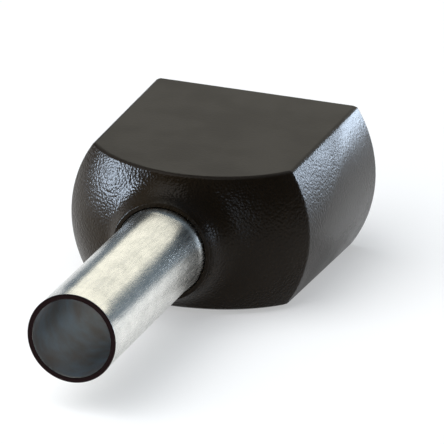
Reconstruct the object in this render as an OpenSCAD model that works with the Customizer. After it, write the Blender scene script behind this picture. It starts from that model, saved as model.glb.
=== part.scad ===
// Insulated ferrule for two wires: a thin metal sleeve held in a moulded collar.
// The sleeve lies along Y and points to -Y, and the wires enter the collar from +Y.
// The origin is on the sleeve's axis, in the collar's front face, where the sleeve comes out.
// The collar is a round, slightly flared body cut by two flats. It lies on the lower one, with Z up.

/* [Sleeve] */
// Bore of the sleeve, which takes the bare strands of both wires
sleeve_bore = 2.3; // [1.6:0.1:2.5]
// Thickness of the sleeve's wall
sleeve_wall = 0.15; // [0.1:0.01:0.2]
// Length of sleeve in front of the collar
sleeve_reach = 7.6; // [5:0.1:18]
// Length of sleeve, between the gap at the front and the flare, that the collar grips
sleeve_grip = 0.5; // [0.3:0.05:0.8]
// How far the sleeve opens out, on the radius, between the collar's front face and the flare
grip_rise = 0.04; // [0.02:0.01:0.08]
// How far the flare at the sleeve's inner end opens out, on the radius
flare_rise = 0.3; // [0.15:0.05:0.4]
// Length of the flare along the axis
flare_length = 0.7; // [0.4:0.05:1]

/* [Collar outside] */
// Diameter of the round body at its front rim
rim_diameter = 7.4; // [7:0.1:8]
// Diameter of the round body at its rear face
rear_diameter = 7.7; // [7.4:0.1:8.6]
// Thickness across the flats at the front rim
rim_thickness = 4.18; // [4:0.02:5]
// Thickness across the flats at the rear face
rear_thickness = 4.44; // [4:0.02:5.4]
// Length from the front rim to the rear face
body_length = 6.1; // [4.5:0.1:12]
// Distance from the front rim back to the centre of the dome that is the front face
dome_setback = 2.3; // [1.5:0.1:6]
// Thickness of the neck's wall round the sleeve
neck_wall = 0.2; // [0.12:0.01:0.4]
// Length of straight neck in front of the fillet
neck_lip = 0.05; // [0.02:0.01:0.5]
// Radius of the fillet that blends the neck into the dome
neck_fillet = 1.25; // [0.5:0.05:2]

/* [Collar inside] */
// Thickness of the collar's wall, all the way round the wires
collar_wall = 0.4; // [0.25:0.05:0.6]
// Length of the funnel that leads from the wires' hollow down to the sleeve
funnel_length = 1.5; // [0.8:0.1:3]
// Width of the lead-in chamfer round the mouth for the wires
mouth_chamfer = 0.15; // [0.05:0.01:0.2]
// Width of the gap round the sleeve in the neck's front face
relief_width = 0.06; // [0.02:0.01:0.1]
// Depth at which that gap has narrowed to the sleeve's seat
relief_depth = 0.3; // [0.1:0.05:0.6]
// Radial play between the sleeve and its seat in the collar
seat_clearance = 0.01; // [0:0.005:0.03]

/* [Hidden] */
$fn = 96;
// Number of straight steps in each arc of a section
arc_steps = 14;
// Length by which a cutter runs past the face that it opens
cut_past = 0.5;

sleeve_r = sleeve_bore / 2 + sleeve_wall;
flare_r = sleeve_r + flare_rise;
seat_mouth_r = flare_r + seat_clearance;
rim_r = rim_diameter / 2;
rear_r = rear_diameter / 2;
neck_r = sleeve_r + neck_wall;
// The dome is part of a sphere, centred on the sleeve's axis, that passes through the rim
dome_radius = norm([rim_r, dome_setback]);

// Places along Y, from the front to the rear
tip_y = -sleeve_reach;
grip_y = relief_depth;
flare_y = grip_y + sleeve_grip;
funnel_y = flare_y + flare_length;
hollow_y = funnel_y + funnel_length;
fillet_y = neck_lip;
dome_y = fillet_y + sqrt(pow(dome_radius + neck_fillet, 2) - pow(neck_r + neck_fillet, 2));
rim_y = dome_y - dome_setback;
rear_y = rim_y + body_length;

// Directions from the dome's centre to the fillet's, where the two arcs meet, and to the rim
blend_angle = atan2(fillet_y - dome_y, neck_r + neck_fillet);
rim_angle = atan2(-dome_setback, rim_r);

// Radius of the sleeve inside the collar, in front of its flare, at the place y
function grip_r(y) = sleeve_r + grip_rise * y / flare_y;
// Radius of the round body, and height of its flats over the axis, at the place y
function body_r(y) = rim_r + (rear_r - rim_r) * (y - rim_y) / body_length;
function flat_z(y) = (rim_thickness + (rear_thickness - rim_thickness) * (y - rim_y) / body_length) / 2;

// Points along an arc, without its last one, where the next stretch of the outline starts
function arc(centre, radius, from, to) = [
    for (i = [0 : arc_steps - 1]) let (a = from + (to - from) * i / arc_steps)
        centre + radius * [cos(a), sin(a)]
];

// Turns a half section, drawn as radius and place along Y, about the sleeve's axis
module turned() {
    rotate([-90, 0, 0]) rotate_extrude() children();
}

// Runs a side view, drawn as place along Y and height, across the whole width
module across() {
    rotate([90, 0, 90]) translate([0, 0, -rear_diameter])
        linear_extrude(height = 2 * rear_diameter) children();
}

// Half section of the outside: filleted neck, domed front and flared wall
module outside_section() {
    polygon(concat(
        [[0, 0], [neck_r, 0]],
        arc([neck_r + neck_fillet, fillet_y], neck_fillet, 180, 180 + blend_angle),
        arc([0, dome_y], dome_radius, blend_angle, rim_angle),
        [[rim_r, rim_y], [rear_r, rear_y], [0, rear_y]]
    ));
}

// Side view of the space between the flats
module between_flats() {
    polygon([
        [-cut_past, -flat_z(-cut_past)], [-cut_past, flat_z(-cut_past)],
        [rear_y, flat_z(rear_y)], [rear_y, -flat_z(rear_y)]
    ]);
}

// Half section of the wires' hollow: its funnel, its wall and the chamfer at its mouth
module hollow_section() {
    mouth_r = rear_r - collar_wall;
    polygon([
        [0, funnel_y], [seat_mouth_r, funnel_y], [body_r(hollow_y) - collar_wall, hollow_y],
        [mouth_r, rear_y - mouth_chamfer], [mouth_r + mouth_chamfer, rear_y],
        [mouth_r + mouth_chamfer, rear_y + cut_past], [0, rear_y + cut_past]
    ]);
}

// Side view of the hollow between the flats: it opens out from the flare, then follows the flats
module hollow_flats() {
    mouth_z = flat_z(rear_y) - collar_wall;
    upper = [
        [funnel_y, seat_mouth_r], [hollow_y, flat_z(hollow_y) - collar_wall],
        [rear_y - mouth_chamfer, mouth_z], [rear_y, mouth_z + mouth_chamfer],
        [rear_y + cut_past, mouth_z + mouth_chamfer]
    ];
    lower = [for (i = [len(upper) - 1 : -1 : 0]) [upper[i][0], -upper[i][1]]];
    polygon(concat(upper, lower));
}

// Half section of the seat: the sleeve's own outline with its play, and the gap at the front
module seat_section() {
    polygon([
        [0, -cut_past], [sleeve_r + relief_width, -cut_past], [sleeve_r + relief_width, 0],
        [grip_r(grip_y) + seat_clearance, grip_y], [grip_r(flare_y) + seat_clearance, flare_y],
        [seat_mouth_r, funnel_y], [0, funnel_y]
    ]);
}

module collar() {
    color("#35302c")
    difference() {
        intersection() {
            turned() outside_section();
            across() between_flats();
        }
        intersection() {
            turned() hollow_section();
            across() hollow_flats();
        }
        turned() seat_section();
    }
}

module sleeve() {
    bore_r = sleeve_bore / 2;
    color("#bfbdb4")
    turned() polygon([
        [bore_r, tip_y], [sleeve_r, tip_y], [sleeve_r, 0], [grip_r(flare_y), flare_y],
        [flare_r, funnel_y], [flare_r - sleeve_wall, funnel_y],
        [grip_r(flare_y) - sleeve_wall, flare_y], [bore_r, 0]
    ]);
}

collar();
sleeve();
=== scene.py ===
import math

import bmesh
import bpy
from bpy.props import FloatProperty, FloatVectorProperty, IntProperty, PointerProperty
from mathutils import Matrix, Vector


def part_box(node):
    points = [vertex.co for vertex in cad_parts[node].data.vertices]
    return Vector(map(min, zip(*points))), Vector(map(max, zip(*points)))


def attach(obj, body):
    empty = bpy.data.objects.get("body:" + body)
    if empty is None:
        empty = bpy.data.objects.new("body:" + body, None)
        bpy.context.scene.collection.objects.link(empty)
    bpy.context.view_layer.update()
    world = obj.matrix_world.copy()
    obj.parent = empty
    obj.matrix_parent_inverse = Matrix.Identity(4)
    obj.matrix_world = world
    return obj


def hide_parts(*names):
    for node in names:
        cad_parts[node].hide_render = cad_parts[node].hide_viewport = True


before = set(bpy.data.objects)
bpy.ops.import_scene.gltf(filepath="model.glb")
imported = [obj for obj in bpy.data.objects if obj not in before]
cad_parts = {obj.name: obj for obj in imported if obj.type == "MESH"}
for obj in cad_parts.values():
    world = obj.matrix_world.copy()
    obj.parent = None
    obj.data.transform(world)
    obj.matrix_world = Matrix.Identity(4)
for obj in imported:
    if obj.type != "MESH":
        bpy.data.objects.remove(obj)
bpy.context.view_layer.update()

bl_info = {
    "name": "Ferrule for Two Wires",
    "version": (1, 0, 0),
    "blender": (4, 5, 0),
    "location": "3D View > Sidebar > Ferrule",
    "description": "Makes an insulated ferrule for two wires, with its stage, light and camera",
    "category": "Add Mesh",
}

# The pieces are drawn in millimetres and brought to metres when they are finished
MM = 1000.0
COLLAR_LOW, COLLAR_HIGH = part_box("collar")
SLEEVE_LOW, SLEEVE_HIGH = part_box("sleeve")


# ---------- sizes and colours ----------

def length(name, description, default):
    return FloatProperty(
        name=name, description=description, default=default, min=0.0, precision=5,
        unit="LENGTH", subtype="DISTANCE",
    )


def colour(name, description, default):
    return FloatVectorProperty(
        name=name, description=description, default=default, size=3, min=0.0, max=1.0,
        subtype="COLOR",
    )


class FerruleCollarSizes(bpy.types.PropertyGroup):
    """Sizes of the moulded collar"""

    rim_diameter: length("Rim diameter", "Diameter of the round body at its front rim", 0.0074)
    rear_diameter: length(
        "Rear diameter", "Diameter of the round body at its rear face", 2 * COLLAR_HIGH.x)
    rim_thickness: length("Rim thickness", "Thickness across the flats at the rim", 0.00418)
    rear_thickness: length(
        "Rear thickness", "Thickness across the flats at the rear face", 2 * COLLAR_HIGH.z)
    body_length: length("Body length", "Length from the front rim to the rear face", 0.0061)
    rear_place: length("Rear place", "Place of the rear face along the axis", COLLAR_HIGH.y)
    dome_setback: length(
        "Dome setback", "Distance from the rim back to the centre of the domed front", 0.0023)
    neck_wall: length("Neck wall", "Thickness of the neck round the sleeve", 0.0002)
    neck_lip: length("Neck lip", "Length of straight neck in front of the fillet", 0.00005)
    neck_fillet: length(
        "Neck fillet", "Radius of the fillet that blends the neck into the dome", 0.00125)
    wall: length("Wall", "Thickness of the wall round the wires", 0.0004)
    funnel_length: length("Funnel length", "Length of the funnel inside the collar", 0.0015)
    mouth_chamfer: length("Mouth chamfer", "Width of the chamfer round the mouth", 0.00015)
    relief_width: length("Relief width", "Width of the gap round the sleeve at the front", 0.00006)
    relief_depth: length("Relief depth", "Depth of that gap", 0.0003)
    seat_play: length("Seat play", "Radial play between the sleeve and its seat", 0.00001)
    rim_rounding: length("Rim rounding", "Radius of the edge between dome and wall", 0.00022)
    rear_rounding: length("Rear rounding", "Radius of the outer edge of the rear face", 0.00012)
    crease_drop: length(
        "Crease drop", "How far below a flat its rounded edge starts", 0.00006)


class FerruleSleeveSizes(bpy.types.PropertyGroup):
    """Sizes of the metal sleeve"""

    bore: length("Bore", "Bore of the sleeve", 0.0023)
    wall: length("Wall", "Thickness of the sleeve's wall", 0.00015)
    reach: length("Reach", "Length of sleeve in front of the collar", -SLEEVE_LOW.y)
    grip: length("Grip", "Length of sleeve that the collar grips", 0.0005)
    grip_rise: length("Grip rise", "How far the sleeve opens out as far as the flare", 0.00004)
    flare_rise: length("Flare rise", "How far the flare opens out, on the radius", 0.0003)
    flare_length: length("Flare length", "Length of the flare along the axis", 0.0007)
    burr: length("Burr", "How far the cut end's outer edge stands out", 0.00002)
    bell_rise: length("Bell rise", "How far the sleeve opens out as it enters the collar", 0.00005)
    bell_length: length("Bell length", "Length over which it opens out there", 0.0005)
    outer_rounding: length(
        "Outer edge", "Radius of the cut end's outer edge", 0.00003)
    inner_rounding: length(
        "Inner edge", "Radius of the cut end's inner edge", 0.000045)


class FerruleFinish(bpy.types.PropertyGroup):
    """Colours of the plastic, the metal and the stage"""

    plastic: colour("Plastic", "Colour of the moulded plastic", (0.0085, 0.0046, 0.0015))
    plastic_worn: colour("Rubbed plastic", "Plastic where it's rubbed", (0.0115, 0.0070, 0.0032))
    # Lighter colour on the two flats: painted sheen, standing in for the glossy reflection the flats
    # show
    flat_painted_sheen: colour("Flats", "Plastic on the two flats", (0.0130, 0.0078, 0.0040))
    tin: colour("Tin", "Colour of the tin plating", (0.84, 0.83, 0.78))
    tin_dull: colour("Dull tin", "Colour of the tin where it has dulled", (0.66, 0.66, 0.62))
    tint_cool: colour("Cool tint", "Colour of the dulled tin inside the sleeve", (0.80, 0.92, 1.0))
    tint_warm: colour("Warm tint", "Colour of the stained tin inside the sleeve", (0.58, 0.49, 0.43))
    copper: colour("Cut copper", "Colour of the copper at the cut end", (0.018, 0.010, 0.010))
    floor: colour("Floor", "Colour of the floor", (0.94, 0.94, 0.94))
    window: colour("Window light", "Colour of the cooler lights", (0.70, 0.83, 1.0))
    lamp: colour("Lamp light", "Colour of the warmer light", (1.0, 0.94, 0.78))


class FerruleStage(bpy.types.PropertyGroup):
    """Camera, floor and light"""

    azimuth: FloatProperty(
        name="Azimuth", description="Direction of the camera round the part",
        default=math.radians(17.83), unit="ROTATION", subtype="ANGLE")
    elevation: FloatProperty(
        name="Elevation", description="Height of the camera over the part",
        default=math.radians(20.02), unit="ROTATION", subtype="ANGLE")
    roll: FloatProperty(
        name="Roll", description="Turn of the camera about its own axis",
        default=math.radians(2.23), unit="ROTATION", subtype="ANGLE")
    distance: length("Distance", "Distance from the camera to the collar's rim", 0.1901)
    lens: FloatProperty(
        name="Lens", description="Focal length on a 36 mm sensor", default=525.4,
        unit="CAMERA", precision=1)
    aside: length("Aside", "How far right of the sleeve's axis the camera aims", 0.0009449)
    above: length("Above", "How far over the sleeve's axis the camera aims", 0.0000487)
    floor_size: length("Floor size", "Width of the square floor", 1.6)
    samples_round: IntProperty(
        name="Round steps", description="Number of steps in a full turn", default=288, min=12)


# ---------- modelling ----------

def start_outline(name, point):
    """Starts a new mesh with a single point and stays in edit mode."""
    if bpy.context.object and bpy.context.object.mode != "OBJECT":
        bpy.ops.object.mode_set(mode="OBJECT")
    bpy.ops.object.select_all(action="DESELECT")
    bpy.ops.mesh.primitive_plane_add(size=1.0, location=(0, 0, 0))
    piece = bpy.context.object
    piece.name = piece.data.name = name
    bpy.ops.object.mode_set(mode="EDIT")
    bpy.ops.mesh.select_mode(type="VERT")
    bpy.ops.mesh.select_all(action="SELECT")
    bpy.ops.mesh.merge(type="CENTER")
    bpy.ops.transform.translate(value=(point[0], point[1], 0))
    return piece


def draw_outline(points):
    """Extrudes the selected point along the rest of an outline of (radius, place) points."""
    for here, there in zip(points, points[1:]):
        bpy.ops.mesh.extrude_region_move(
            TRANSFORM_OT_translate={"value": (there[0] - here[0], there[1] - here[1], 0)})


def spin_outline(steps):
    """Spins the drawn outline a full turn about the sleeve's axis and closes its seam."""
    bpy.ops.mesh.select_all(action="SELECT")
    bpy.ops.mesh.spin(steps=steps, angle=math.tau, center=(0, 0, 0), axis=(0, 1, 0))
    bpy.ops.mesh.select_all(action="SELECT")
    bpy.ops.mesh.remove_doubles(threshold=0.0005)
    bpy.ops.mesh.normals_make_consistent(inside=False)


def arc(centre, radius, start, end, steps):
    """Points along an arc, both ends included."""
    turns = [start + (end - start) * i / steps for i in range(steps + 1)]
    return [(centre[0] + radius * math.cos(t), centre[1] + radius * math.sin(t)) for t in turns]


def rounded(corners, steps=5):
    """Points of an outline of (radius, place, rounding) corners, each rounding as a short arc."""
    points = []
    for i, (radius, place, rounding) in enumerate(corners):
        corner = Vector((radius, place, 0))
        if not rounding:
            points.append((radius, place))
            continue
        before = (Vector((*corners[i - 1][:2], 0)) - corner).normalized()
        after = (Vector((*corners[i + 1][:2], 0)) - corner).normalized()
        half = before.angle(after) / 2
        centre = corner + (before + after).normalized() * rounding / math.sin(half)
        start = (corner + before * rounding / math.tan(half) - centre).normalized()
        end = (corner + after * rounding / math.tan(half) - centre).normalized()
        for k in range(steps + 1):
            points.append(tuple(centre + rounding * start.slerp(end, k / steps))[:2])
    return points


def select_only(kind, test):
    """Selects the faces, edges or verts of the mesh being edited that pass a test."""
    bpy.ops.mesh.select_mode(type={"verts": "VERT", "edges": "EDGE", "faces": "FACE"}[kind])
    bpy.ops.mesh.select_all(action="DESELECT")
    mesh = bmesh.from_edit_mesh(bpy.context.object.data)
    chosen = [e for e in getattr(mesh, kind) if test(e)]
    for e in chosen:
        e.select_set(True)
    mesh.select_flush_mode()
    bmesh.update_edit_mesh(bpy.context.object.data)
    if not chosen:
        raise RuntimeError(f"no {kind} found to work on")
    return len(chosen)


def put_in_order():
    """Numbers the parts of the mesh being edited by place, so that each run merges the same ones."""
    bpy.context.scene.cursor.location = (31.7, -53.9, 17.3)
    bpy.ops.mesh.select_all(action="SELECT")
    bpy.ops.mesh.sort_elements(type="CURSOR_DISTANCE", elements={"VERT", "EDGE", "FACE"})


def cut_flat(side, slope, rear_y, half_rear, drop):
    """Cuts the piece to a flat that slopes out to the rear, and selects the new face."""
    normal = Vector((0, -slope, side)).normalized()
    low = Vector((0, rear_y, side * half_rear)) - normal * drop
    bpy.ops.mesh.select_all(action="SELECT")
    bpy.ops.mesh.bisect(
        plane_co=low, plane_no=normal, use_fill=True, clear_outer=True, threshold=0.00001)
    put_in_order()
    bpy.ops.mesh.remove_doubles(threshold=0.004)
    select_only("faces", lambda f: len(f.verts) > 20 and f.normal.dot(normal) > 0.999)
    return low, normal


def take_out(piece, plug):
    """Takes a plug out of a piece and removes the plug."""
    bpy.ops.object.select_all(action="DESELECT")
    bpy.context.view_layer.objects.active = piece
    piece.select_set(True)
    bpy.ops.object.modifier_add(type="BOOLEAN")
    cut = piece.modifiers[-1]
    cut.operation, cut.solver, cut.object = "DIFFERENCE", "MANIFOLD", plug
    bpy.ops.object.modifier_apply(modifier=cut.name)
    bpy.ops.object.select_all(action="DESELECT")
    plug.select_set(True)
    bpy.ops.object.delete()
    bpy.context.view_layer.objects.active = piece
    piece.select_set(True)


def finish_piece(piece, angle):
    """Brings a drawn piece to metres, smooths its shading and leaves edit mode."""
    bpy.ops.mesh.select_all(action="SELECT")
    bpy.ops.mesh.normals_make_consistent(inside=False)
    bpy.ops.transform.resize(value=(1 / MM,) * 3, center_override=(0, 0, 0))
    bpy.ops.object.mode_set(mode="OBJECT")
    bpy.ops.object.shade_smooth_by_angle(angle=math.radians(angle))
    bpy.ops.object.modifier_add(type="WEIGHTED_NORMAL")
    piece.modifiers[-1].keep_sharp = True
    bpy.ops.object.modifier_apply(modifier=piece.modifiers[-1].name)


# ---------- materials ----------

def group_of_nodes(name, inputs, outputs):
    """An empty shader node group with named sockets, and its input and output nodes."""
    group = bpy.data.node_groups.new(name, "ShaderNodeTree")
    for socket, kind, default in inputs:
        made = group.interface.new_socket(socket, in_out="INPUT", socket_type=kind)
        if default is not None:
            made.default_value = default
    for socket, kind in outputs:
        group.interface.new_socket(socket, in_out="OUTPUT", socket_type=kind)
    return group, group.nodes.new("NodeGroupInput"), group.nodes.new("NodeGroupOutput")


def node(tree, kind, inputs=(), **settings):
    """A new node with its settings and inputs; an input is a value or a socket to link."""
    made = tree.nodes.new(kind)
    for name, value in settings.items():
        setattr(made, name, value)
    for key, value in dict(inputs).items():
        if isinstance(value, bpy.types.NodeSocket):
            tree.links.new(value, made.inputs[key])
        else:
            made.inputs[key].default_value = value
    return made


def maths(tree, operation, *values):
    return node(tree, "ShaderNodeMath", dict(enumerate(values)), operation=operation).outputs[0]


def mix(tree, factor, one, other):
    """A mix of two colours by a factor."""
    made = node(tree, "ShaderNodeMix", {"Factor": factor, 6: one, 7: other}, data_type="RGBA")
    return made.outputs[2]


def spread(tree, value, low, high, to_low=0.0, to_high=1.0):
    """Maps a value smoothly from one range to another, and stops at its ends."""
    made = node(
        tree, "ShaderNodeMapRange",
        {"Value": value, "From Min": low, "From Max": high, "To Min": to_low, "To Max": to_high},
        interpolation_type="SMOOTHSTEP")
    return made.outputs["Result"]


def rgba(value):
    return (*value, 1.0)


def grain_group():
    """Fine pebbled grain, of a size in metres."""
    tree, given, out = group_of_nodes(
        "Fine Grain",
        [("Vector", "NodeSocketVector", None), ("Size", "NodeSocketFloat", 0.00007)],
        [("Height", "NodeSocketFloat"), ("Glint", "NodeSocketFloat")])
    per_metre = maths(tree, "DIVIDE", 1.0, given.outputs["Size"])
    coarse = node(tree, "ShaderNodeTexNoise", {
        "Vector": given.outputs["Vector"], "Scale": per_metre, "Detail": 1.0, "Roughness": 0.5})
    fine = node(tree, "ShaderNodeTexVoronoi", {
        "Vector": given.outputs["Vector"], "Scale": per_metre}, feature="F1")
    height = maths(
        tree, "SUBTRACT", maths(tree, "MULTIPLY", coarse.outputs["Fac"], 0.5),
        maths(tree, "MULTIPLY", fine.outputs["Distance"], 0.7))
    tree.links.new(height, out.inputs["Height"])
    tree.links.new(spread(tree, coarse.outputs["Fac"], 0.52, 0.66), out.inputs["Glint"])
    return tree


def mottle_group():
    """Soft uneven patches, of a size in metres."""
    tree, given, out = group_of_nodes(
        "Soft Mottle",
        [("Vector", "NodeSocketVector", None), ("Size", "NodeSocketFloat", 0.001),
         ("Contrast", "NodeSocketFloat", 0.2)],
        [("Mask", "NodeSocketFloat")])
    cloud = node(tree, "ShaderNodeTexNoise", {
        "Vector": given.outputs["Vector"], "Detail": 4.0, "Roughness": 0.55,
        "Scale": maths(tree, "DIVIDE", 1.0, given.outputs["Size"])})
    low = maths(tree, "SUBTRACT", 0.5, given.outputs["Contrast"])
    high = maths(tree, "ADD", 0.5, given.outputs["Contrast"])
    tree.links.new(spread(tree, cloud.outputs["Fac"], low, high), out.inputs["Mask"])
    return tree


def new_material(name):
    """An empty material, its Principled shader and its Object coordinates."""
    material = bpy.data.materials.new(name)
    material.use_nodes = True
    tree = material.node_tree
    shader = tree.nodes["Principled BSDF"]
    place = tree.nodes.new("ShaderNodeTexCoord").outputs["Object"]
    return material, tree, shader, place


def plastic_material(finish, sizes, grain, mottle):
    """Dark moulded plastic: sparkling grain on the round faces, a smoother finish on the flats, and
    on the flats a lighter colour that is painted sheen.
    """
    material, tree, shader, place = new_material("Black Moulded Plastic")
    grains = node(tree, "ShaderNodeGroup", {}, node_tree=grain)
    tree.links.new(place, grains.inputs["Vector"])
    grains.inputs["Size"].default_value = 0.00008
    parts = node(tree, "ShaderNodeSeparateXYZ", {"Vector": place})
    slope = (sizes.rear_thickness - sizes.rim_thickness) / 2 / sizes.body_length
    height = maths(tree, "SUBTRACT", maths(tree, "ABSOLUTE", parts.outputs["Z"]),
                   maths(tree, "MULTIPLY", parts.outputs["Y"], slope))
    flat_height = sizes.rear_thickness / 2 - slope * sizes.rear_place
    on_flat = spread(tree, height, flat_height - 0.00008, flat_height - 0.00002)
    patches = node(tree, "ShaderNodeGroup", {}, node_tree=mottle)
    tree.links.new(place, patches.inputs["Vector"])
    patches.inputs["Size"].default_value = 0.0016
    round_faces = mix(
        tree, patches.outputs["Mask"], rgba(finish.plastic), rgba(finish.plastic_worn))
    # The flats take the lighter colour, which is painted sheen in place of their reflection
    tree.links.new(
        mix(tree, on_flat, round_faces, rgba(finish.flat_painted_sheen)), shader.inputs["Base Color"])

    # The wall is coarser near the rim and near the flats, and smoother further back
    rim_y = sizes.rear_place - sizes.body_length
    on_wall = spread(tree, parts.outputs["Y"], rim_y - 0.00015, rim_y + 0.00015)
    back = maths(tree, "SUBTRACT", parts.outputs["Y"], maths(
        tree, "MULTIPLY", maths(tree, "ABSOLUTE", parts.outputs["Z"]), 1.7))
    coarse = spread(tree, back, rim_y + 0.0001, rim_y + 0.0016, 1.0, 0.0)
    off_flat = maths(tree, "SUBTRACT", 1.0, on_flat)
    coarse_wall = maths(tree, "MULTIPLY", maths(tree, "MULTIPLY", on_wall, coarse), off_flat)
    rough = maths(
        tree, "ADD", spread(tree, patches.outputs["Mask"], 0, 1, 0.24, 0.28), maths(
            tree, "ADD", maths(tree, "MULTIPLY", on_flat, 0.12),
            maths(tree, "MULTIPLY", coarse_wall, 0.09)))
    tree.links.new(rough, shader.inputs["Roughness"])
    depth = maths(tree, "MULTIPLY", spread(tree, coarse, 0, 1, 0.35, 1.0),
                  maths(tree, "ADD", maths(tree, "MULTIPLY", off_flat, 0.9), 0.1))
    raised = maths(tree, "MULTIPLY", grains.outputs["Height"], depth)
    bump = node(tree, "ShaderNodeBump", {"Height": raised, "Distance": 0.000018, "Strength": 0.8})
    tree.links.new(bump.outputs["Normal"], shader.inputs["Normal"])
    shader.inputs["Specular IOR Level"].default_value = 0.1
    return material


def tin_material(finish, sizes, grain, mottle):
    """Tin plating over copper, with drawn marks along it and a bare cut end."""
    material, tree, shader, place = new_material("Tin Over Copper")
    parts = node(tree, "ShaderNodeSeparateXYZ", {"Vector": place})
    grains = node(tree, "ShaderNodeGroup", {}, node_tree=grain)
    tree.links.new(place, grains.inputs["Vector"])
    grains.inputs["Size"].default_value = 0.00007
    patches = node(tree, "ShaderNodeGroup", {}, node_tree=mottle)
    tree.links.new(place, patches.inputs["Vector"])
    patches.inputs["Size"].default_value = 0.0005
    stretched = node(tree, "ShaderNodeMapping", {"Vector": place, "Scale": (1.0, 0.12, 1.0)})
    marks = node(tree, "ShaderNodeTexNoise", {
        "Vector": stretched.outputs["Vector"], "Scale": 14000.0, "Detail": 3.0})
    plated = mix(
        tree, maths(tree, "MULTIPLY", patches.outputs["Mask"], 0.6),
        rgba(finish.tin), rgba(finish.tin_dull))
    across = node(tree, "ShaderNodeCombineXYZ", {"X": parts.outputs["X"], "Y": parts.outputs["Z"]})
    out_from_axis = node(
        tree, "ShaderNodeVectorMath", {0: across.outputs[0]}, operation="LENGTH").outputs["Value"]
    bore_r = sizes.bore / 2
    inside = maths(
        tree, "MULTIPLY",
        spread(tree, out_from_axis, bore_r + 0.00002, bore_r + 0.00006, 1.0, 0.0),
        spread(tree, parts.outputs["Y"], -sizes.reach + 0.00004, -sizes.reach + 0.00009))
    cut = spread(
        tree, parts.outputs["Y"], -sizes.reach + 0.000012, -sizes.reach + 0.000026, 1.0, 0.0)
    stains = node(tree, "ShaderNodeGroup", {}, node_tree=mottle)
    tree.links.new(place, stains.inputs["Vector"])
    stains.inputs["Size"].default_value = 0.0011
    stains.inputs["Contrast"].default_value = 0.3
    stained = mix(
        tree, stains.outputs["Mask"], rgba(finish.tint_cool), rgba(finish.tint_warm))
    bare = mix(tree, inside, plated, stained)
    tree.links.new(mix(tree, cut, bare, rgba(finish.copper)), shader.inputs["Base Color"])
    rough = maths(
        tree, "ADD", spread(tree, marks.outputs["Fac"], 0.3, 0.7, 0.23, 0.29),
        maths(tree, "MAXIMUM", maths(tree, "MULTIPLY", cut, 0.25),
              maths(tree, "MULTIPLY", inside, 0.22)))
    tree.links.new(rough, shader.inputs["Roughness"])
    height = maths(
        tree, "ADD", grains.outputs["Height"],
        maths(tree, "MULTIPLY", marks.outputs["Fac"], 0.8))
    bump = node(tree, "ShaderNodeBump", {
        "Height": height, "Distance": 0.0000024, "Strength": 0.8})
    tree.links.new(bump.outputs["Normal"], shader.inputs["Normal"])
    shader.inputs["Metallic"].default_value = 1.0
    return material


def floor_material(finish):
    """Pale floor that stays white to the eye and keeps a soft shadow."""
    material = bpy.data.materials.new("Pale Floor")
    material.use_nodes = True
    tree = material.node_tree
    tree.nodes.clear()
    path = node(tree, "ShaderNodeLightPath")
    seen = maths(
        tree, "MAXIMUM", path.outputs["Is Camera Ray"],
        maths(tree, "MAXIMUM", path.outputs["Is Glossy Ray"],
              path.outputs["Is Transmission Ray"]))
    plain = node(tree, "ShaderNodeBsdfDiffuse", {"Color": rgba(finish.floor)})
    white = node(tree, "ShaderNodeEmission", {"Color": (1, 1, 1, 1), "Strength": 1.0})
    both = node(tree, "ShaderNodeMixShader", {
        0: maths(tree, "MULTIPLY", seen, 0.42), 1: plain.outputs[0], 2: white.outputs[0]})
    out = node(tree, "ShaderNodeOutputMaterial")
    tree.links.new(both.outputs[0], out.inputs["Surface"])
    return material


# ---------- pieces ----------

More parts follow.
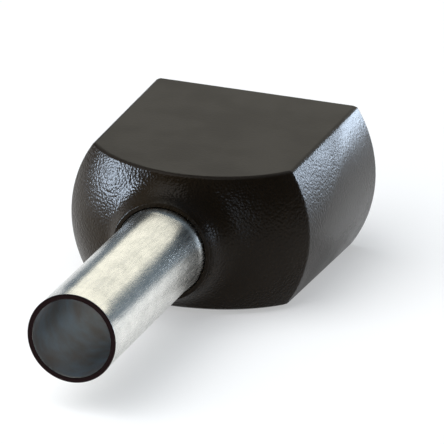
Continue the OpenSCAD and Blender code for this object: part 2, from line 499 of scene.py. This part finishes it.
class FERRULE_OT_collar(bpy.types.Operator):
    """Models the moulded collar: domed front, filleted neck, two flats and open rear"""

    bl_idname = "mesh.ferrule_collar"
    bl_label = "Moulded Collar"

    def execute(self, context):
        size = context.scene.ferrule_collar
        sleeve = context.scene.ferrule_sleeve
        steps = context.scene.ferrule_stage.samples_round
        sleeve_r = (sleeve.bore / 2 + sleeve.wall) * MM
        neck_r = sleeve_r + size.neck_wall * MM
        relief_r = sleeve_r + size.relief_width * MM
        rim_r, rear_r = size.rim_diameter / 2 * MM, size.rear_diameter / 2 * MM
        rear_y = size.rear_place * MM
        rim_y = rear_y - size.body_length * MM
        dome_y = rim_y + size.dome_setback * MM
        dome_radius = math.hypot(rim_r, size.dome_setback * MM)
        fillet, fillet_y = size.neck_fillet * MM, size.neck_lip * MM
        play, edge, past = size.seat_play * MM, 0.02, 0.3
        grip_y = size.relief_depth * MM
        flare_y = grip_y + sleeve.grip * MM
        funnel_y = flare_y + sleeve.flare_length * MM
        flare_r = sleeve_r + sleeve.flare_rise * MM
        grip_rise = sleeve.grip_rise * MM
        blend = math.atan2(fillet_y - dome_y, neck_r + fillet)
        rim_turn = math.atan2(rim_y - dome_y, rim_r)

        # The outline runs from the axis round the neck, over the dome and the wall to the rear
        dome = arc((0, dome_y), dome_radius, blend, rim_turn, 18)[:-1]
        outline = rounded([
            (0, 0, 0),
            (neck_r, 0, 0.03),
            *[(r, y, 0) for r, y in arc(
                (neck_r + fillet, fillet_y), fillet, math.pi, math.pi + blend, 14)[:-1]],
            *[(r, y, 0) for r, y in dome],
            (rim_r, rim_y, size.rim_rounding * MM),
            (rear_r, rear_y, size.rear_rounding * MM),
            (0, rear_y, 0),
        ])
        piece = start_outline("collar_shell", outline[0])
        draw_outline(outline)
        spin_outline(steps)

        # Each flat is cut a little too low, then raised with a rounded edge
        slope = (size.rear_thickness - size.rim_thickness) / 2 / size.body_length
        drop = size.crease_drop * MM
        half_rear = size.rear_thickness / 2 * MM
        for side in (1, -1):
            low, normal = cut_flat(side, slope, rear_y, half_rear, drop)
            bpy.ops.mesh.inset(thickness=drop * 1.85, depth=drop)

            def over(vert):
                return (vert.co - low).dot(normal)

            select_only("edges", lambda e: sum(abs(over(v)) for v in e.verts) > 0.5 * drop
                        and abs(abs(over(e.verts[0]) - over(e.verts[1])) - drop) < 0.2 * drop)
            bpy.ops.mesh.subdivide_edgering(
                number_cuts=3, interpolation="SURFACE", smoothness=1.0,
                profile_shape_factor=0.0)

        # The hollow is drawn as a plug: gap, seat, funnel and space for the wires
        wall, chamfer = size.wall * MM, size.mouth_chamfer * MM
        hollow_y = funnel_y + size.funnel_length * MM
        hollow_r = rim_r + (rear_r - rim_r) * (hollow_y - rim_y) / (rear_y - rim_y) - wall
        mouth_r, mouth_y = rear_r - wall, rear_y - chamfer
        plug_outline = [
            (0, -past), (relief_r + edge + past, -past), (relief_r, edge),
            (sleeve_r + grip_rise * grip_y / flare_y + play, grip_y),
            (sleeve_r + grip_rise + play, flare_y), (flare_r + play, funnel_y),
            (hollow_r, hollow_y), (mouth_r, mouth_y), (0, mouth_y),
        ]
        plug = start_outline("hollow_plug", plug_outline[0])
        draw_outline(plug_outline)
        spin_outline(steps)
        for side in (1, -1):
            cut_flat(side, slope, rear_y, half_rear - wall, 0.0)
        select_only("faces", lambda f: f.normal.y > 0.999)
        bpy.ops.mesh.dissolve_faces()
        bevel, mouth_z = chamfer + past, half_rear - wall
        bpy.ops.mesh.extrude_region_move(TRANSFORM_OT_translate={"value": (0, bevel, 0)})
        bpy.ops.transform.resize(
            value=((mouth_r + bevel) / mouth_r, 1, (mouth_z + bevel) / mouth_z),
            center_override=(0, rear_y, 0))
        bpy.ops.mesh.select_all(action="SELECT")
        bpy.ops.mesh.normals_make_consistent(inside=False)
        bpy.ops.object.mode_set(mode="OBJECT")
        take_out(piece, plug)
        bpy.ops.object.mode_set(mode="EDIT")
        put_in_order()
        bpy.ops.mesh.remove_doubles(threshold=0.0005)
        finish_piece(piece, 32)

        piece.data.materials.clear()
        piece.data.materials.append(context.scene.ferrule_materials.plastic)
        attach(piece, "root")
        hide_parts("collar")
        return {"FINISHED"}


class FERRULE_OT_sleeve(bpy.types.Operator):
    """Models the metal sleeve: a drawn tube with a rounded cut end and a flared inner end"""

    bl_idname = "mesh.ferrule_sleeve"
    bl_label = "Metal Sleeve"

    def execute(self, context):
        size = context.scene.ferrule_sleeve
        steps = context.scene.ferrule_stage.samples_round
        bore_r, wall = size.bore / 2 * MM, size.wall * MM
        sleeve_r = bore_r + wall
        tip_y = -size.reach * MM
        flare_y = (context.scene.ferrule_collar.relief_depth + size.grip) * MM
        end_y = flare_y + size.flare_length * MM
        grip_r = sleeve_r + size.grip_rise * MM
        flare_r = sleeve_r + size.flare_rise * MM
        middle = sleeve_r - wall / 2
        bell, bell_y = size.bell_rise * MM, -size.bell_length * MM
        straight_y = tip_y + 0.12
        outer = [(sleeve_r, straight_y + (bell_y - straight_y) * i / 10, 0) for i in range(11)]
        outer += [(sleeve_r + bell * (i / 6) ** 2, bell_y * (1 - i / 6), 0) for i in range(1, 7)]
        outer.append((sleeve_r + 0.3 * bell, context.scene.ferrule_collar.relief_depth * MM, 0))
        inner = [(bore_r, y, 0) for y in (tip_y * i / 12 for i in range(12))]
        outline = rounded([
            (middle, tip_y, 0),
            (sleeve_r + size.burr * MM, tip_y, size.outer_rounding * MM),
            *outer,
            (grip_r, flare_y, 0.15),
            (flare_r, end_y, 0.04),
            (flare_r - wall, end_y, 0.04),
            (grip_r - wall, flare_y, 0.15),
            *inner,
            (bore_r, tip_y, size.inner_rounding * MM),
            (middle, tip_y, 0),
        ], steps=4)
        piece = start_outline("sleeve_tube", outline[0])
        draw_outline(outline)
        spin_outline(steps)
        finish_piece(piece, 40)
        piece.data.materials.append(context.scene.ferrule_materials.tin)
        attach(piece, "root")
        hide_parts("sleeve")
        return {"FINISHED"}


class FerruleMaterials(bpy.types.PropertyGroup):
    """Materials of the pieces"""

    plastic: PointerProperty(
        name="Plastic", description="Material of the collar", type=bpy.types.Material)
    tin: PointerProperty(
        name="Tin", description="Material of the sleeve", type=bpy.types.Material)
    floor: PointerProperty(
        name="Floor", description="Material of the floor", type=bpy.types.Material)


class FERRULE_OT_materials(bpy.types.Operator):
    """Makes the plastic, the tin plating and the floor's finish"""

    bl_idname = "material.ferrule_finishes"
    bl_label = "Finishes"

    def execute(self, context):
        finish = context.scene.ferrule_finish
        made = context.scene.ferrule_materials
        grain, mottle = grain_group(), mottle_group()
        made.plastic = plastic_material(finish, context.scene.ferrule_collar, grain, mottle)
        made.tin = tin_material(finish, context.scene.ferrule_sleeve, grain, mottle)
        made.floor = floor_material(finish)
        return {"FINISHED"}


def direction(azimuth, elevation):
    """The way from the part to something seen at this azimuth (0 is +Y, 90 is +X) and height."""
    a, e = math.radians(azimuth), math.radians(elevation)
    return Vector((math.sin(a) * math.cos(e), math.cos(a) * math.cos(e), math.sin(e)))


def softbox(name, azimuth, elevation, distance, width, height, brightness, tint, centre):
    """An area light that faces the part; a brightness of 1 looks white in a mirror."""
    way = direction(azimuth, elevation)
    bpy.ops.object.select_all(action="DESELECT")
    bpy.ops.object.light_add(type="AREA", location=centre + way * distance)
    lamp = bpy.context.object
    lamp.name = lamp.data.name = name
    lamp.rotation_euler = way.to_track_quat("Z", "Y").to_euler()
    lamp.data.shape = "RECTANGLE"
    lamp.data.size, lamp.data.size_y = width, height
    lamp.data.color = tint
    lamp.data.energy = brightness * math.pi * width * height
    return lamp


def light_only(lamp, receiver):
    """Makes a lamp light a single object."""
    lit = bpy.data.collections.new(f"lit_by_{lamp.name}")
    lit.objects.link(receiver)
    lamp.light_linking.receiver_collection = lit


class FERRULE_OT_stage(bpy.types.Operator):
    """Lays the floor and sets up the light and the camera"""

    bl_idname = "scene.ferrule_stage"
    bl_label = "Floor, Light and Camera"

    def execute(self, context):
        scene = context.scene
        stage, finish = scene.ferrule_stage, scene.ferrule_finish
        bpy.ops.object.select_all(action="DESELECT")
        bpy.ops.mesh.primitive_plane_add(size=stage.floor_size, location=(0, 0, COLLAR_LOW.z))
        floor = context.object
        floor.name = floor.data.name = "floor"
        floor.data.materials.append(scene.ferrule_materials.floor)

        middle = Vector((0, 0.001, 0))
        softbox("lamp_overhead", -78, 66, 0.50, 0.36, 0.36, 1.4, (1.0, 1.0, 1.0), middle)
        softbox("lamp_behind", -3, 20, 0.50, 0.384, 0.231, 1.13, finish.lamp, middle)
        softbox("window_far", 56, 9, 0.50, 0.12, 0.12, 6.0, finish.window, middle)
        softbox("window_front", 152, 3, 0.50, 0.18, 0.14, 5.5, finish.window, middle)
        front = softbox("lamp_front", -146, 50, 0.50, 0.60, 0.60, 3.1, (1.0, 1.0, 1.0), middle)
        light_only(front, floor)
        for window in (
                softbox("window_left", -105, 11, 0.50, 0.22, 0.17, 66.0, finish.window, middle),
                softbox("window_right", 27, 7, 0.50, 0.23, 0.16, 19.0, finish.window, middle)):
            light_only(window, bpy.data.objects["collar_shell"])

        world = bpy.data.worlds.new("Studio")
        scene.world = world
        world.use_nodes = True
        world.node_tree.nodes["Background"].inputs["Color"].default_value = (0.66, 0.83, 1.0, 1.0)
        world.node_tree.nodes["Background"].inputs["Strength"].default_value = 0.24

        bpy.ops.object.select_all(action="DESELECT")
        bpy.ops.object.camera_add()
        camera = context.object
        camera.name = camera.data.name = "camera"
        a, e, r = stage.azimuth, stage.elevation, stage.roll
        back = Vector((math.sin(a) * math.cos(e), -math.cos(a) * math.cos(e), math.sin(e)))
        level = Vector((math.cos(a), math.sin(a), 0))
        rise = back.cross(level)
        right = math.cos(r) * level + math.sin(r) * rise
        up = math.cos(r) * rise - math.sin(r) * level
        rim = Vector((0, COLLAR_HIGH.y - scene.ferrule_collar.body_length, 0))
        aim = rim + stage.aside * right + stage.above * up
        turned = Matrix((right, up, back)).transposed().to_4x4()
        camera.matrix_world = Matrix.Translation(aim + back * stage.distance) @ turned
        camera.data.sensor_width = 36
        camera.data.lens = stage.lens
        camera.data.clip_start, camera.data.clip_end = 0.01, 10
        scene.camera = camera
        scene.view_settings.view_transform = "Standard"
        return {"FINISHED"}


class FERRULE_PT_panel(bpy.types.Panel):
    """Sizes, colours and steps of the ferrule"""

    bl_idname = "FERRULE_PT_panel"
    bl_label = "Ferrule"
    bl_space_type = "VIEW_3D"
    bl_region_type = "UI"
    bl_category = "Ferrule"

    def draw(self, context):
        for step in (FERRULE_OT_materials, FERRULE_OT_collar, FERRULE_OT_sleeve, FERRULE_OT_stage):
            self.layout.operator(step.bl_idname)
        for group in (context.scene.ferrule_collar, context.scene.ferrule_sleeve,
                      context.scene.ferrule_finish, context.scene.ferrule_stage):
            box = self.layout.box()
            for name in group.__annotations__:
                box.prop(group, name)


GROUPS = {
    "ferrule_collar": FerruleCollarSizes,
    "ferrule_sleeve": FerruleSleeveSizes,
    "ferrule_finish": FerruleFinish,
    "ferrule_stage": FerruleStage,
    "ferrule_materials": FerruleMaterials,
}
CLASSES = (
    *GROUPS.values(), FERRULE_OT_materials, FERRULE_OT_collar, FERRULE_OT_sleeve,
    FERRULE_OT_stage, FERRULE_PT_panel,
)


def register():
    for item in CLASSES:
        bpy.utils.register_class(item)
    for name, group in GROUPS.items():
        setattr(bpy.types.Scene, name, PointerProperty(type=group))


def unregister():
    for name in GROUPS:
        delattr(bpy.types.Scene, name)
    for item in reversed(CLASSES):
        bpy.utils.unregister_class(item)


def main():
    register()
    bpy.ops.material.ferrule_finishes()
    bpy.ops.mesh.ferrule_collar()
    bpy.ops.mesh.ferrule_sleeve()
    bpy.ops.scene.ferrule_stage()


if __name__ == "__main__":
    main()
